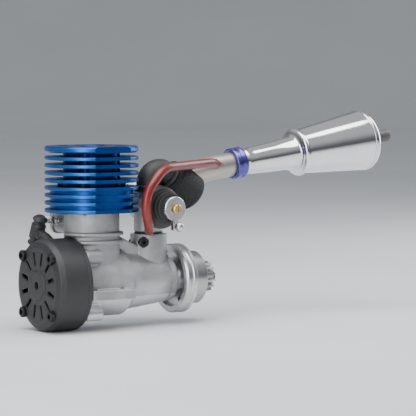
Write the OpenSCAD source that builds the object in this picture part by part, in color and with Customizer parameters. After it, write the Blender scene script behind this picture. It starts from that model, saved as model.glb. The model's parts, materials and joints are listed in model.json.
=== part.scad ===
// Model-car glow engine, 3.5 cc, with carburettor, recoil starter, clutch and tuned exhaust.
// Millimetres. +X runs along the crankshaft to the clutch, +Z up the cylinder, +Y to the
// exhaust side. The origin is the middle of the four lug holes, on the lugs' underside.

/* [Cylinder] */
// Bore of the cylinder sleeve
bore = 16.4; // [15:0.1:17.4]
// Piston stroke
stroke = 16.6; // [14.6:0.2:17]
// Connecting rod, centre to centre
rod_length = 29; // [28.5:0.5:31]
// Wall of the sleeve
sleeve_wall = 2; // [1.6:0.1:2.3]
// Piston crown above the wrist pin
crown_height = 7.2; // [6.6:0.1:8]

/* [Cooling head] */
// Diameter of the fins
fin_d = 48; // [44:1:54]
// Number of fins under the top disc
fin_count = 8; // [8:1:9]
// Fin to fin distance
fin_pitch = 3.8; // [3.6:0.1:4]
// Thickness of one fin
fin_t = 1.8; // [1.2:0.1:2.4]
// Thickness of the top disc
top_disc_t = 3.2; // [2.4:0.1:4]
// Diameter of the solid core
core_d = 29; // [27:1:32]
// Well for the glow plug
plug_well_d = 13.2; // [12.6:0.1:14]

/* [Crankcase] */
// Height of the crank axis above the lugs' underside
crank_z = 7; // [6:0.5:10]
// Lug hole spacing along X
lug_dx = 16; // [14:1:18]
// Lug hole spacing across Y
lug_dy = 38; // [37:1:42]
// Lug hole diameter
lug_hole_d = 4.2; // [3.2:0.1:4.6]
// Thickness of the lugs
lug_t = 5; // [4:0.5:6]
// Radius of the crank chamber
chamber_r = 14.6; // [14.4:0.1:15]
// Case wall thickness
case_wall = 2.6; // [2:0.1:3.2]

/* [Crankshaft and clutch] */
// Journal diameter
journal_d = 14; // [13:0.5:14]
// Flywheel diameter
flywheel_d = 36; // [32:1:40]
// Flywheel thickness
flywheel_t = 7; // [6.5:0.5:8]
// Inner diameter of the clutch bell
bell_id = 25; // [24:0.5:28]
// Teeth on the bell's pinion
pinion_teeth = 14; // [14:1:16]
// Gear module
pinion_module = 1; // [1:0.1:1.1]

/* [Carburettor] */
// Distance of the carburettor from the cylinder axis
carb_x = 34; // [34:0.5:36]
// Height of the throttle slide above the crank axis
carb_h = 38; // [37:0.5:40]
// Throttle slide diameter
slide_d = 11; // [10:0.5:11.6]
// Throttle travel
throttle_travel = 7.5; // [6:0.5:8]

/* [Starter] */
// Outer diameter of the starter housing
starter_d = 47; // [45:1:50]
// Depth of the starter housing
starter_depth = 17; // [16.5:0.5:19]
// Angle of the pull above the horizontal
pull_angle = 25; // [15:5:30]

/* [Exhaust] */
// Outer diameter of the header tube
header_d = 13; // [12:0.5:14]
// Wall of the exhaust tubes
tube_wall = 1; // [0.8:0.1:1.4]
// Front diameter of the silencer can
can_front_d = 24; // [22:1:25]
// Rear diameter of the silencer can
can_rear_d = 33; // [28:1:34]
// Length of the silencer can
can_length = 42; // [30:1:44]
// Upward tilt of the tuned pipe
pipe_tilt = 7.5; // [5:0.5:10]

/* [Hidden] */
$fn = 96;

// clearances
run = 0.03;      // running fit, on the radius
slip = 0.04;     // sliding fit, on the radius
loose = 0.3;     // parts that pass each other
thread_gap = 0.05;

// cylinder stations, measured up from the crank axis
throw_r = stroke / 2;
pin_h = throw_r + rod_length;               // wrist pin at top dead centre
crown_h = pin_h + crown_height;
squish = 0.4;
shim_t = 0.3;
deck_h = crown_h + squish - shim_t;         // top face of crankcase and sleeve
flange_t = 2.2;
sleeve_r = bore / 2 + sleeve_wall;
sleeve_flange_r = sleeve_r + 2;
web_r = chamber_r - 1.4;
skirt_h = web_r + 0.5 - (pin_h - stroke);   // skirt end below the pin, negative is down
sleeve_low_h = 16;
button_h = deck_h + shim_t;
button_t = 2.5;

// cooling head stations
base_h = deck_h + 0.3;
fin_stack = top_disc_t + fin_count * fin_pitch;
bolt_r = sleeve_flange_r + 2.95;
bolt_d = 3;
bolt_head_d = 5.5;
bolt_head_t = 3;
skirt_fins = 2;                             // fins that hang below the deck
head_low_h = base_h - skirt_fins * fin_pitch - fin_t / 2;
head_top_h = head_low_h + fin_stack;
base_top_h = head_low_h + (skirt_fins + 1) * fin_pitch + fin_t;
deck_boss_r = 3.8;
skirt_in_r = bolt_r + deck_boss_r + 0.5;
skirt_out_r = skirt_in_r + 1.8;
head_flat = fin_d / 2 - 2.5;
edge = 0.3;                                 // broken edge on machined parts

// stations along X, measured from the cylinder axis
back_x = -12.5;                             // rear face of the crankcase
web_x0 = 3.5;
web_t = 5.5;
shoulder_x = web_x0 + web_t;
rear_brg_x = shoulder_x + 0.5;
rear_brg_w = 6;
rear_brg_r = 12.7;
front_brg_x = carb_x + 6;
front_brg_w = 5;
front_brg_r = 9.5;
nose_x = front_brg_x + front_brg_w + 0.5;
nose_r = front_brg_r + 2;
shaft_r = 3.5;
rod_t = 5;
wheel_x0 = nose_x + 1.2;
wheel_x1 = wheel_x0 + flywheel_t;
thread_x = wheel_x1 - 3;
nut_x1 = wheel_x1 + 3.4;
shoe_x0 = wheel_x1 + 0.6;
shoe_w = 5.5;
bell_wall = 1.3;
bell_x0 = wheel_x1 + 1;
bell_web_x = shoe_x0 + shoe_w + 0.6;
bell_web_t = 1.8;
pinion_x1 = bell_web_x + bell_web_t + 8.6;
bell_brg_w = 4;
bell_brg_r = 5;
pilot_r = 2.5;
pilot_x1 = pinion_x1;
clutch_pin_r = 1.5;
clutch_pin_at = bell_id / 2 - 3.2;

// crankcase
case_r = chamber_r + case_wall;
barrel_r = sleeve_r + 4;
lug_y1 = lug_dy / 2 + 4.4;
lug_half_x = lug_dx / 2 + 4.4;
boss_r = 9.5;
neck_r = 5.5;
boss_h = 24;
cotter_y = 5.4;                             // seat of the carburettor's cotter bolt
screw_r = 1.5;
screw_at = chamber_r + 5.8;                 // radius of the starter screws
exhaust_h = deck_h - 13.3;                  // middle of the exhaust port
exhaust_w = 12;
exhaust_tall = 8;
stub_y = fin_d / 2 + 0.5;                   // face of the exhaust stub
stub_wall = 2.6;

// carburettor
venturi_r = 4;
carb_r = 7.2;
intake_h = carb_h + carb_r + 3.3;           // top of the air intake
intake_r = 6;
carb_y0 = -12;
carb_y1 = 10;
collar_r = 10;
boot_y0 = carb_y0 - 1.5;
boot_length = 10;
slide_end_y = boot_y0 - boot_length - 3;
needle_y = carb_y1 + 7;

// starter
plate_t = 2.2;
plate_x = back_x - plate_t;
starter_r = starter_d / 2;
housing_wall = 1.6;
housing_x1 = plate_x - starter_depth;
reel_r = screw_at - 3.4;
cord_at = reel_r - 2.5;                             // radius on which the cord winds
reel_x0 = plate_x - 1;
reel_w = 8;
cord_r = 0.9;
drive_r = 4;
clutch_sleeve_r = 6.5;
pull = [0, cos(pull_angle), sin(pull_angle)];
pull_normal = [0, -sin(pull_angle), cos(pull_angle)];
exit_along = sqrt(starter_r * starter_r - cord_at * cord_at);
cord_x = reel_x0 - reel_w / 2;

// exhaust route
header_r = header_d / 2;
pipe_y = 14;
joint_x = 94;
joint_h = exhaust_h + 26.5;
joint_length = 7;
joint_half = joint_length / 2;
cone_length = 34;
pipe_dir = [cos(pipe_tilt), 0, sin(pipe_tilt)];
joint_at = [joint_x, pipe_y, joint_h];
header_out = 18;                            // how far the header runs out before it turns back
header_points = [
  [0, stub_y + 2, exhaust_h],
  [0, stub_y + header_out, exhaust_h],
  joint_at - 12 * pipe_dir,
  joint_at + joint_half * pipe_dir
];
header_bends = [11, 26];
spring_pin_r = 1.1;
spring_pin_x = 11.8;
spring_pin_y = [15, stub_y + 6];
can_x = joint_length + cone_length;
cap_x = can_x + 3 + can_length;

// hose from the carburettor's nipple, past the fins, to the nipple on the header
hose_r = 2.5;
hose_bore_r = 1.2;
inlet_dir = [-0.5, -0.866, 0];
inlet_at = [carb_x, 0, boss_h + 2.7] + 7 * inlet_dir;
nipple_dir = unit([-0.75, -0.62, 0.12]);
nipple_at = joint_at - 5 * pipe_dir;
hose_points = [
  inlet_at + 3.2 * inlet_dir,
  inlet_at + 17.5 * inlet_dir,
  [16.8, -23.4, 44],
  [31, -19.5, 58.5],
  nipple_at + 20 * nipple_dir,
  nipple_at + 11 * nipple_dir
];
hose_bends = [7.5, 15, 16, 14];

// colours
cast = "#b9bcc0";
steel = "#8f9499";
dark_steel = "#5a5e63";
chrome = "#dfe3e6";
blue = "#1a5fb0";
black = "#1c1d1f";
rubber = "#222224";
brass = "#c7a24a";
copper = "#b87346";
bronze = "#b98a4b";
red = "#8c1f1c";
aluminium = "#c9ccd0";

// ---------------------------------------------------------------- helpers

// Turns a profile of [radius, distance] round the X, Y or Z axis.
module turned_x() { rotate([0, 90, 0]) rotate_extrude() children(); }
module turned_y() { rotate([-90, 0, 0]) rotate_extrude() children(); }
module turned_z() { rotate_extrude() children(); }

// Section of a ring from a to b along its axis, with broken outer edges.
module ring_section(a, b, r_out, r_in = 0, c = edge) {
  polygon([[r_in, a], [r_out - c, a], [r_out, a + c], [r_out, b - c], [r_out - c, b], [r_in, b]]);
}
module ring_x(a, b, r_out, r_in = 0, c = edge) { turned_x() ring_section(a, b, r_out, r_in, c); }
module ring_y(a, b, r_out, r_in = 0, c = edge) { turned_y() ring_section(a, b, r_out, r_in, c); }
module ring_z(a, b, r_out, r_in = 0, c = edge) { turned_z() ring_section(a, b, r_out, r_in, c); }

// Plain bar of six sides along X.
module hex_x(a, b, across) { translate([a, 0, 0]) rotate([0, 90, 0]) cylinder(h = b - a, d = across / cos(30), $fn = 6); }

// Everything about the crank is drawn on its own axis and lifted here.
module on_crank() { translate([0, 0, crank_z]) children(); }

function unit(v) = v / norm(v);
function lerp(a, b, t) = a + (b - a) * t;

// Straight tube between two points.
module tube_between(p, q, r, r_in) {
  d = q - p;
  translate(p) rotate([0, acos(d[2] / norm(d)), atan2(d[1], d[0])])
    linear_extrude(norm(d)) difference() { circle(r); if (r_in > 0) circle(r_in); }
}

// Tube along a polyline, each inner corner bent to its own radius. The bends stand a hair proud.
proud = 0.02;
module bent_tube(points, bends, r, r_in) {
  n = len(points) - 1;
  a = [for (i = [0:n - 1]) unit(points[i + 1] - points[i])];
  turn = [for (i = [0:n]) i == 0 || i == n ? 0 : acos(a[i - 1] * a[i])];
  cut = [for (i = [0:n]) i == 0 || i == n ? 0 : bends[i - 1] * tan(turn[i] / 2)];
  for (i = [0:n - 1])
    tube_between(points[i] + a[i] * max(cut[i] - 0.05, 0), points[i + 1] - a[i] * max(cut[i + 1] - 0.05, 0), r, r_in);
  for (i = [1:n - 1]) {
    inward = unit(a[i] - a[i - 1] * (a[i - 1] * a[i]));
    c = points[i] - a[i - 1] * cut[i] + inward * bends[i - 1];
    x = -inward;
    y = a[i - 1];
    z = cross(x, y);
    multmatrix([[x[0], y[0], z[0], c[0]], [x[1], y[1], z[1], c[1]], [x[2], y[2], z[2], c[2]]])
      rotate_extrude(angle = turn[i]) translate([bends[i - 1], 0]) difference() {
        circle(r + proud);
        if (r_in > 0) circle(r_in - proud);
      }
  }
}

// Outline of a straight-flanked pinion.
function gear_outline(teeth, m) =
  let (pitch = teeth * m / 2, step = 360 / teeth)
  [for (i = [0:teeth - 1], q = [[-0.30, -1.15], [-0.22, 0], [-0.11, 1], [0.11, 1], [0.22, 0], [0.30, -1.15]])
    let (w = step * (i + q[0]), r = pitch + q[1] * m) [r * cos(w), r * sin(w)]];

module around_x(count, at, phase = 0) {
  for (i = [0:count - 1]) rotate([phase + 360 * i / count, 0, 0]) translate([0, 0, at]) children();
}
module four_z(at) { for (w = [45:90:315]) rotate([0, 0, w]) translate([at, 0, 0]) children(); }

// ---------------------------------------------------------------- crankcase

module barrel_and_deck() {
  translate([0, 0, 6]) cylinder(h = deck_h - 6, r = barrel_r);
  four_z(bolt_r) translate([0, 0, deck_h - 7]) cylinder(h = 7, r = deck_boss_r);
  translate([0, 0, deck_h - 2.2]) cylinder(h = 2.2, r = bolt_r);
  for (h = [deck_h - 20, deck_h - 24])
    intersection() {
      translate([0, 0, h]) cylinder(h = 1.6, r = barrel_r + 2);
      translate([-50, -50, h]) cube([100, 50, 2]);
    }
}

module nose() {
  turned_x() polygon([[0, shoulder_x - 4], [case_r, shoulder_x - 4], [case_r, rear_brg_x + rear_brg_w - 1],
    [case_r - 2.4, rear_brg_x + rear_brg_w + 2], [nose_r + 0.6, carb_x + 6], [nose_r, carb_x + 8],
    [nose_r, nose_x - edge], [nose_r - edge, nose_x], [0, nose_x]]);
  translate([carb_x, 0, 0]) cylinder(h = boss_h, r = boss_r);
  for (y = [-3.2, 3.2]) hull() {
    translate([barrel_r - 2, y - 1, 10]) cube([1, 2, 14]);
    translate([carb_x - boss_r, y - 1, 10]) cube([1, 2, 8]);
  }
}

module lugs() {
  for (s = [-1, 1])
    translate([-lug_half_x, s > 0 ? case_r - 5 : -lug_y1, -crank_z])
      cube([2 * lug_half_x, lug_y1 - case_r + 5, lug_t]);
}

// Hooks for the header springs: 0 on the crankcase, 1 on the header.
module spring_pins(i) {
  for (s = [0, 1]) mirror([s, 0, 0]) translate([4, spring_pin_y[i], exhaust_h]) rotate([0, 90, 0])
    cylinder(h = spring_pin_x - 2.6, r = spring_pin_r);
}

// Block from y0 to y1 with the outline of the exhaust port, grown by a wall on every side.
module port_block(y0, y1, wall) {
  a = exhaust_w / 2 + wall;
  b = exhaust_tall / 2 + wall;
  c = b * 0.42;
  translate([0, y0, exhaust_h]) rotate([-90, 0, 0]) linear_extrude(y1 - y0)
    polygon([[-a, -b + c], [-a + 0.3 * c, -b + 0.3 * c], [-a + c, -b], [a - c, -b], [a - 0.3 * c, -b + 0.3 * c],
      [a, -b + c], [a, b - c], [a - 0.3 * c, b - 0.3 * c], [a - c, b], [-a + c, b],
      [-a + 0.3 * c, b - 0.3 * c], [-a, b - c]]);
}

module crankcase() color(cast) on_crank() difference() {
  union() {
    translate([back_x, 0, 0]) rotate([0, 90, 0]) cylinder(h = shoulder_x - back_x, r = case_r);
    screw_ring() {
      translate([back_x, 0, 0]) rotate([0, 90, 0]) cylinder(h = 9, r = screw_r + 2);
      translate([back_x, -3, case_r - screw_at - 1.5]) cube([8.4, 6, 3]);
    }
    barrel_and_deck();
    nose();
    lugs();
    port_block(0, stub_y, stub_wall);
    spring_pins(0);
  }
  translate([back_x - 8, 0, 0]) rotate([0, 90, 0]) cylinder(h = 8, r = starter_r + 2 * loose);
  translate([back_x - 1, 0, 0]) rotate([0, 90, 0]) cylinder(h = rear_brg_x - back_x + 1, r = chamber_r);
  translate([shoulder_x - 1, 0, 0]) rotate([0, 90, 0]) cylinder(h = rear_brg_x + rear_brg_w - shoulder_x + 1, r = rear_brg_r);
  translate([shoulder_x, 0, 0]) rotate([0, 90, 0]) cylinder(h = nose_x, r = journal_d / 2 + run);
  translate([front_brg_x, 0, 0]) rotate([0, 90, 0]) cylinder(h = nose_x, r = front_brg_r);
  cylinder(h = deck_h + 1, r = sleeve_r);
  translate([0, 0, deck_h - flange_t]) cylinder(h = flange_t + 1, r = sleeve_flange_r);
  for (w = [0, 180, 270]) rotate([0, 0, w]) translate([sleeve_r - 2, -3.5, 10]) cube([4, 7, exhaust_h - 5.5]);
  translate([-exhaust_w / 2, 0, exhaust_h - exhaust_tall / 2]) cube([exhaust_w, stub_y + 1, exhaust_tall]);
  translate([carb_x, 0, 0]) cylinder(h = boss_h + 1, r = neck_r);
  translate([carb_x - neck_r - 1.8, -20, boss_h - 4]) rotate([-90, 0, 0]) cylinder(h = 40, r = 1.25 + thread_gap);
  translate([carb_x - neck_r - 1.8, -20, boss_h - 4]) rotate([-90, 0, 0]) cylinder(h = 20 - cotter_y, r = 2.7);
  for (x = [-1, 1], y = [-1, 1])
    translate([x * lug_dx / 2, y * lug_dy / 2, -crank_z - 1]) cylinder(h = lug_t + 2, d = lug_hole_d);
  four_z(bolt_r) translate([0, 0, deck_h - 9]) cylinder(h = 10, r = bolt_d / 2 + thread_gap);
  screw_ring() translate([back_x - 1, 0, 0]) rotate([0, 90, 0]) cylinder(h = 9, r = screw_r + thread_gap);
}

// ---------------------------------------------------------------- bearings

module race_groove(at, mid, ball) { turned_x() translate([mid, at]) circle(ball + run); }

module bearing_outer(x, w, r, land, mid, ball) difference() {
  ring_x(x, x + w, r, land);
  race_groove(x + w / 2, mid, ball);
}
module bearing_inner(x, w, r, land, mid, ball) difference() {
  ring_x(x, x + w, land, r);
  race_groove(x + w / 2, mid, ball);
}
module bearing_balls(x, w, mid, ball, count) around_x(count, mid) translate([x + w / 2, 0, 0]) sphere(ball);

front_mid = 6.5;
front_ball = 1.6;
rear_mid = 9.8;
rear_ball = 1.7;
module front_bearing_outer() color(steel) on_crank() bearing_outer(front_brg_x, front_brg_w, front_brg_r, 7.6, front_mid, front_ball);
module front_bearing_inner() color(steel) on_crank() bearing_inner(front_brg_x, front_brg_w, shaft_r, 5.4, front_mid, front_ball);
module front_bearing_balls() color(chrome) on_crank() bearing_balls(front_brg_x, front_brg_w, front_mid, front_ball, 8);
module rear_bearing_outer() color(steel) on_crank() bearing_outer(rear_brg_x, rear_brg_w, rear_brg_r, 10.9, rear_mid, rear_ball);
module rear_bearing_inner() color(steel) on_crank() bearing_inner(rear_brg_x, rear_brg_w, journal_d / 2, 8.7, rear_mid, rear_ball);
module rear_bearing_balls() color(chrome) on_crank() bearing_balls(rear_brg_x, rear_brg_w, rear_mid, rear_ball, 12);

// ---------------------------------------------------------------- cylinder and head

module cylinder_sleeve() color(brass) on_crank() difference() {
  union() {
    ring_z(sleeve_low_h, deck_h, sleeve_r, bore / 2);
    ring_z(deck_h - flange_t, deck_h, sleeve_flange_r, bore / 2);
  }
  translate([-exhaust_w / 2, 0, exhaust_h - 3.4]) cube([exhaust_w, sleeve_r + 2, 6.8]);
  for (w = [0, 180, 270]) rotate([0, 0, w]) translate([0, -3.2, exhaust_h - 3.4]) cube([sleeve_r + 2, 6.4, 4.6]);
}

module head_shim() color(copper) on_crank() ring_z(deck_h, deck_h + shim_t, sleeve_flange_r, bore / 2, 0.05);

module head_button() color(aluminium) on_crank() difference() {
  union() {
    ring_z(button_h, button_h + button_t, sleeve_flange_r);
    ring_z(button_h, button_h + 6, 5.6);
  }
  translate([0, 0, button_h - 6.6]) sphere(8.4);
  translate([0, 0, button_h]) cylinder(h = 8, r = 3.175 + thread_gap);
}

module cooling_head() color(blue) on_crank() difference() {
  union() {
    ring_z(base_h, head_top_h, core_d / 2, 0);
    ring_z(head_top_h - top_disc_t, head_top_h, fin_d / 2, 0, 0.8);
    for (k = [0:fin_count - 1])
      ring_z(head_low_h + k * fin_pitch, head_low_h + k * fin_pitch + fin_t, fin_d / 2, 0, 0.35);
    ring_z(base_h, base_top_h, skirt_out_r, 0);
    ring_z(head_low_h, base_h + 1, skirt_out_r, skirt_in_r, 0.1);
  }
  translate([0, 0, head_low_h - 1]) cylinder(h = base_h - head_low_h + 1, r = skirt_in_r);
  translate([0, 0, base_h - 1]) cylinder(h = button_h + button_t - base_h + 1, r = sleeve_flange_r + 0.1);
  cylinder(h = head_top_h + 1, d = plug_well_d);
  translate([0, 0, head_top_h - 1.2]) cylinder(h = 1.21, r1 = plug_well_d / 2, r2 = plug_well_d / 2 + 1.2);
  four_z(bolt_r) {
    cylinder(h = head_top_h + 1, r = bolt_d / 2 + 0.2);
    translate([0, 0, base_top_h]) cylinder(h = head_top_h, r = bolt_head_d / 2 + 0.35);
  }
  for (s = [0, 1]) mirror([0, s, 0]) translate([-fin_d, head_flat, 0]) cube([2 * fin_d, fin_d, head_top_h + 1]);
  translate([-exhaust_w / 2 - stub_wall - 0.7, 0, 0])
    cube([exhaust_w + 2 * stub_wall + 1.4, fin_d, exhaust_h + exhaust_tall / 2 + stub_wall + 0.7]);
}

// Cap screw standing on its seat at height 0, pointing down.
module cap_screw(r, length, head_r, head_t, key) difference() {
  union() {
    translate([0, 0, -length]) cylinder(h = length, r = r);
    ring_z(0, head_t, head_r, 0, 0.35);
  }
  translate([0, 0, head_t - head_t * 0.6]) cylinder(h = head_t, d = key / cos(30), $fn = 6);
}

module head_bolts() color(dark_steel) on_crank()
  four_z(bolt_r) translate([0, 0, base_top_h]) cap_screw(bolt_d / 2, base_top_h - deck_h + 8, bolt_head_d / 2, bolt_head_t, 2.5);

plug_seat_h = button_h + 6;
module glow_plug_washer() color(copper) on_crank() ring_z(plug_seat_h, plug_seat_h + 0.5, 4.6, 3.25, 0.15);
module glow_plug() color(chrome) on_crank() translate([0, 0, plug_seat_h + 0.5]) {
  difference() {
    union() {
      translate([0, 0, -5.6]) cylinder(h = 5.6, r = 3.175);
      cylinder(h = 4.4, d = 8 / cos(30), $fn = 6);
      ring_z(4.4, 6.2, 3.4);
    }
    translate([0, 0, -6]) cylinder(h = 3.5, r = 2);
  }
  turned_z() polygon([[0, 6.2], [2.1, 6.2], [2.1, 7.2], [1.3, 7.6], [1.3, 8.6], [1.9, 9.2], [1.9, 11], [1.2, 11.8], [0, 11.8]]);
}

// ---------------------------------------------------------------- piston and rod

wrist_r = 2.25;
module piston() color(steel) on_crank() translate([0, 0, pin_h]) difference() {
  ring_z(skirt_h, crown_height, bore / 2 - run, 0, 0.25);
  difference() {
    translate([0, 0, skirt_h - 1]) cylinder(h = crown_height - 1.6 - skirt_h, r = bore / 2 - 1.7);
    for (s = [0, 1]) mirror([s, 0, 0]) translate([rod_t / 2 + 0.5, 0, 0]) rotate([0, 90, 0]) cylinder(h = 8, r = 4);
  }
  translate([-bore, 0, 0]) rotate([0, 90, 0]) cylinder(h = 2 * bore, r = wrist_r);
}
module wrist_pin() color(chrome) on_crank() translate([0, 0, pin_h]) ring_x(-bore / 2 + 1.6, bore / 2 - 1.6, wrist_r, 1.3, 0.2);
module wrist_pin_clips() color(dark_steel) on_crank() translate([0, 0, pin_h])
  for (s = [0, 1]) mirror([s, 0, 0]) ring_x(bore / 2 - 1.6, bore / 2 - 0.9, wrist_r, 1.5, 0.1);

crankpin_r = 2.75;
big_r = 4.1;
small_r = 3.7;
module conrod() color(bronze) on_crank() difference() {
  union() {
    translate([0, 0, throw_r]) ring_x(-rod_t / 2, rod_t / 2, big_r);
    translate([0, 0, pin_h]) ring_x(-rod_t / 2, rod_t / 2, small_r);
    translate([-1.4, -2.4, throw_r + 3]) cube([2.8, 4.8, rod_length - 6]);
  }
  translate([-rod_t, 0, throw_r]) rotate([0, 90, 0]) cylinder(h = 2 * rod_t, r = crankpin_r);
  translate([-rod_t, 0, pin_h]) rotate([0, 90, 0]) cylinder(h = 2 * rod_t, r = wrist_r + run);
  for (s = [0, 1]) mirror([s, 0, 0]) translate([0.9, -1.3, throw_r + 5.5]) cube([2, 2.6, rod_length - 11]);
}
module crankpin() color(chrome) on_crank() translate([0, 0, throw_r]) ring_x(-4.2, web_x0 - 0.1, crankpin_r, 0, 0.2);

// ---------------------------------------------------------------- crankshaft, flywheel, clutch

module crankshaft() color(steel) on_crank() difference() {
  union() {
    ring_x(web_x0, shoulder_x, web_r);
    ring_x(shoulder_x - 1, rear_brg_x, 8.4);
    ring_x(shoulder_x, front_brg_x, journal_d / 2);
    ring_x(front_brg_x - 1, thread_x, shaft_r);
    ring_x(thread_x - 1, nut_x1 + 0.8, 3.175);
    ring_x(nut_x1, pilot_x1, pilot_r);
  }
  translate([web_x0 - 1, 0, 0]) rotate([0, 90, 0]) cylinder(h = carb_x + 4 - web_x0, r = 4.4);
  translate([carb_x - 4.5, -4.2, 1]) cube([9, 8.4, 12]);
  for (s = [0, 1]) mirror([0, s, 0]) translate([web_x0 - 1, 7.2, 2.6]) cube([web_t + 1, 10, 14]);
  translate([pilot_x1 - 9, 0, 0]) rotate([0, 90, 0]) cylinder(h = 10, r = 1.25 + thread_gap);
}

collet_r0 = 5.6;
collet_r1 = 4.4;
module flywheel_collet() color(brass) on_crank() difference() {
  turned_x() polygon([[shaft_r, nose_x - 0.5], [collet_r0, nose_x - 0.5], [collet_r0, wheel_x0], [collet_r1, thread_x], [shaft_r, thread_x]]);
  translate([nose_x - 1, -0.4, 0]) cube([20, 0.8, 10]);
}

module flywheel() color(aluminium) on_crank() difference() {
  union() {
    turned_x() difference() {
      ring_section(wheel_x0, wheel_x1, flywheel_d / 2, 0, 0.8);
      polygon([[0, wheel_x0 - 1], [collet_r0, wheel_x0 - 1], [collet_r0, wheel_x0], [collet_r1, thread_x], [3.6, thread_x], [3.6, wheel_x1 + 1], [0, wheel_x1 + 1]]);
      polygon([[7.5, wheel_x0 - 1], [flywheel_d / 2 - 3.4, wheel_x0 - 1], [flywheel_d / 2 - 3.4, wheel_x0 + 2.2], [7.5, wheel_x0 + 2.2]]);
      translate([flywheel_d / 2 + 0.4, (wheel_x0 + wheel_x1) / 2]) circle(1.2);
    }
    around_x(3, clutch_pin_at) translate([wheel_x1 - 2, 0, 0]) rotate([0, 90, 0]) cylinder(h = shoe_w + 2.4, r = clutch_pin_r);
  }
  around_x(6, flywheel_d / 2 - 5.6, 30) translate([wheel_x0, 0, 0]) rotate([0, 90, 0]) cylinder(h = flywheel_t + 2, r = 1.5);
}

module clutch_nut() color(steel) on_crank() difference() {
  union() {
    hex_x(wheel_x1, nut_x1, 9);
    ring_x(nut_x1 - 1, nut_x1 + 0.6, 4);
  }
  translate([wheel_x1 - 1, 0, 0]) rotate([0, 90, 0]) cylinder(h = 10, r = 3.175 + thread_gap);
}

shoe_out_r = bell_id / 2 - 0.5;
shoe_in_r = 5.8;
shoe_lead = 12;                              // degrees of shoe ahead of its pin
shoe_trail = 96;                             // and behind it
coil_r = 2.3;
module clutch_shoe(i) color(black) on_crank() rotate([120 * i, 0, 0]) difference() {
  rotate([0, 90, 0]) rotate([0, 0, 180 - shoe_lead]) rotate_extrude(angle = shoe_lead + shoe_trail)
    ring_section(shoe_x0, shoe_x0 + shoe_w, shoe_out_r, shoe_in_r);
  translate([shoe_x0 - 1, 0, clutch_pin_at]) rotate([0, 90, 0]) cylinder(h = shoe_w + 2, r = clutch_pin_r + run);
  translate([shoe_x0 + shoe_w - 1.8, 0, clutch_pin_at]) rotate([0, 90, 0]) cylinder(h = 3, r = coil_r + 0.3);
}

module clutch_springs() color(dark_steel) on_crank() around_x(3, clutch_pin_at)
  ring_x(shoe_x0 + shoe_w - 1.5, shoe_x0 + shoe_w - 0.1, coil_r, clutch_pin_r, 0.3);

module clutch_bell() color(steel) on_crank() difference() {
  union() {
    turned_x() difference() {
      ring_section(bell_x0, bell_web_x + bell_web_t, bell_id / 2 + bell_wall, 0, 0.5);
      square([bell_id / 2, bell_web_x]);
    }
    translate([bell_web_x + 0.5, 0, 0]) rotate([0, 90, 0])
      linear_extrude(pinion_x1 - 0.4 - bell_web_x - 0.5) polygon(gear_outline(pinion_teeth, pinion_module));
  }
  translate([bell_web_x - 1, 0, 0]) rotate([0, 90, 0]) cylinder(h = 20, r = bell_brg_r);
  around_x(6, bell_id / 2 - 2.8, 30) translate([bell_web_x - 1, 0, 0]) rotate([0, 90, 0]) cylinder(h = 5, r = 1.3);
}

bell_brg_at = [bell_web_x + 0.2, pinion_x1 - 0.6 - bell_brg_w];
module bell_bearing_outers() color(chrome) on_crank() for (x = bell_brg_at) ring_x(x, x + bell_brg_w, bell_brg_r, 3.6, 0.2);
module bell_bearing_inners() color(chrome) on_crank() for (x = bell_brg_at) ring_x(x, x + bell_brg_w, 3.5, pilot_r, 0.15);
module bell_screw() color(dark_steel) on_crank() translate([pinion_x1, 0, 0]) rotate([0, 90, 0]) {
  translate([0, 0, 0.6]) cap_screw(1.25, 8, 2.7, 2.4, 2);
  ring_z(0, 0.6, 4, 1.25, 0.1);
}

// ---------------------------------------------------------------- backplate and recoil starter

module screw_ring() { for (w = [45:90:315]) rotate([w, 0, 0]) translate([0, 0, screw_at]) children(); }

module backplate() color(black) on_crank() difference() {
  union() {
    ring_x(plate_x, back_x, starter_r);
    ring_x(back_x - 1, back_x + 2.4, chamber_r - 0.05);
  }
  translate([plate_x - 1, 0, 0]) rotate([0, 90, 0]) cylinder(h = 10, r = drive_r + 0.05);
  screw_ring() translate([plate_x - 1, 0, 0]) rotate([0, 90, 0]) cylinder(h = 5, r = screw_r + 0.1);
  turned_x() translate([chamber_r, back_x + 1.2]) circle(0.75);
}

module backplate_seal() color(rubber) on_crank() turned_x() intersection() {
  translate([chamber_r, back_x + 1.2]) circle(0.75);
  translate([chamber_r - 2, back_x]) square([2, 3]);
}

module carburettor_seal() color(rubber) on_crank() translate([carb_x, 0, 0]) ring_z(boss_h, boss_h + 1, 7.4, neck_r - run, 0.3);

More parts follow.
